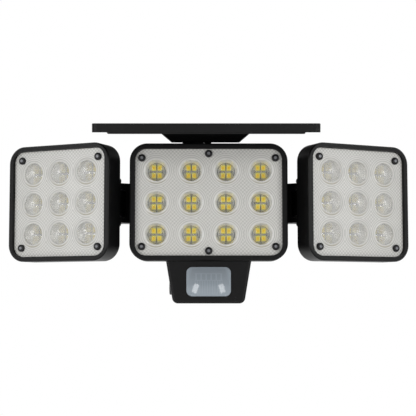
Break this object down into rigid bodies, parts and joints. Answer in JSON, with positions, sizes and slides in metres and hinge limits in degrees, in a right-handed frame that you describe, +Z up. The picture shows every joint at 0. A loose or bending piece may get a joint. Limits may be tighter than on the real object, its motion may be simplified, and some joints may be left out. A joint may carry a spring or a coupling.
{
  "type": "solar street light",
  "caption": "Wall-mounted solar security light with a wide centre head, two turning side heads, a tilting solar panel and a motion sensor housing below.",
  "frame": {"origin": "centre of the wall bracket's rear face, where it lies on the wall", "axes": "+X to the right as seen from in front, +Y into the wall, +Z up"},
  "size_m": [0.3136, 0.1194, 0.1457],
  "materials": {
    "shell_black": "fine-grained black moulded shell",
    "lens_clear": "clear moulded optic plate",
    "window_milky": "milky grey-blue Fresnel film",
    "lamp_board": "white solder mask on an aluminium core",
    "lamp_chip": "amber phosphor under clear gel",
    "screw_black": "black zinc",
    "steel_plain": "bright zinc",
    "seal_rubber": "soft black rubber",
    "bracket_black": "black powder coat on pressed steel",
    "cell_wrap": "blue shrink sleeve on a steel can",
    "contact_plate": "nickel plated",
    "board_green": "green solder mask on glass-epoxy",
    "board_part": "moulded electronic parts",
    "lead_sleeve": "coloured sleeve on copper strands",
    "sensor_can": "plated can",
    "guide_clear": "clear light guide",
    "button_rubber": "dark silicone rubber",
    "cell_silicon": "dark blue silicon wafer",
    "cell_sheet": "dark glass-epoxy backing sheet",
    "panel_glass": "clear tempered cover"
  },
  "bodies": {
    "main_body": {"centre_head_housing": "shell_black", "centre_optic_seal": "seal_rubber", "centre_optic_plate": "lens_clear", "centre_led_board": "lamp_board", "centre_led_chips": "lamp_chip", "centre_lens_screws": "screw_black", "rear_housing": "shell_black", "roof_grommet": "seal_rubber", "centre_mount_screws": "screw_black", "side_hinge_bolts": "screw_black", "side_hinge_nuts": "steel_plain", "side_hinge_washers": "steel_plain", "tilt_bolt": "screw_black", "tilt_nut": "steel_plain", "rear_cover": "shell_black", "rear_cover_seal": "seal_rubber", "rear_cover_screws": "screw_black", "wall_bracket": "bracket_black", "bracket_lock_screws": "steel_plain", "battery_cells": "cell_wrap", "battery_holder": "board_part", "battery_contacts": "contact_plate", "control_board": "board_green", "control_board_parts": "board_part", "control_leads": "lead_sleeve", "sensor_housing": "shell_black", "sensor_window": "window_milky", "sensor_board": "board_green", "motion_sensor": "sensor_can", "light_guide": "guide_clear", "mode_switch": "board_part", "sensor_rear_cover": "shell_black", "sensor_case_screws": "screw_black", "board_screws": "steel_plain", "sensor_leads": "lead_sleeve"},
    "left_head": {"left_head_housing": "shell_black", "left_optic_seal": "seal_rubber", "left_optic_plate": "lens_clear", "left_led_board": "lamp_board", "left_led_chips": "lamp_chip", "left_lens_screws": "screw_black", "left_hinge_arm": "shell_black", "left_arm_screws": "screw_black"},
    "right_head": {"right_head_housing": "shell_black", "right_optic_seal": "seal_rubber", "right_optic_plate": "lens_clear", "right_led_board": "lamp_board", "right_led_chips": "lamp_chip", "right_lens_screws": "screw_black", "right_hinge_arm": "shell_black", "right_arm_screws": "screw_black"},
    "panel": {"panel_tray": "shell_black", "solar_backing": "cell_sheet", "solar_cells": "cell_silicon", "solar_glazing": "panel_glass", "junction_box": "shell_black", "junction_screws": "screw_black", "junction_grommet": "seal_rubber"},
    "button": {"mode_button": "button_rubber", "switch_plunger": "board_part"}
  },
  "joints": [
    {"name": "left_head_yaw", "type": "hinge", "parent": "main_body", "child": "left_head", "pos_m": [-0.0714, -0.0508, 0.0005], "axis": [0, 0, -1], "range_deg": [-25, 20]},
    {"name": "right_head_yaw", "type": "hinge", "parent": "main_body", "child": "right_head", "pos_m": [0.0714, -0.0508, 0.0005], "axis": [0, 0, 1], "range_deg": [-25, 20]},
    {"name": "panel_tilt", "type": "hinge", "parent": "main_body", "child": "panel", "pos_m": [-0.0093, -0.042, 0.043], "axis": [1, 0, 0], "range_deg": [-50, 6]},
    {"name": "mode_button_press", "type": "slide", "parent": "main_body", "child": "button", "axis": [1, 0, 0], "range_m": [0, 0.0008], "stiffness_N_per_m": 800, "springref_m": -0.001}
  ]
}
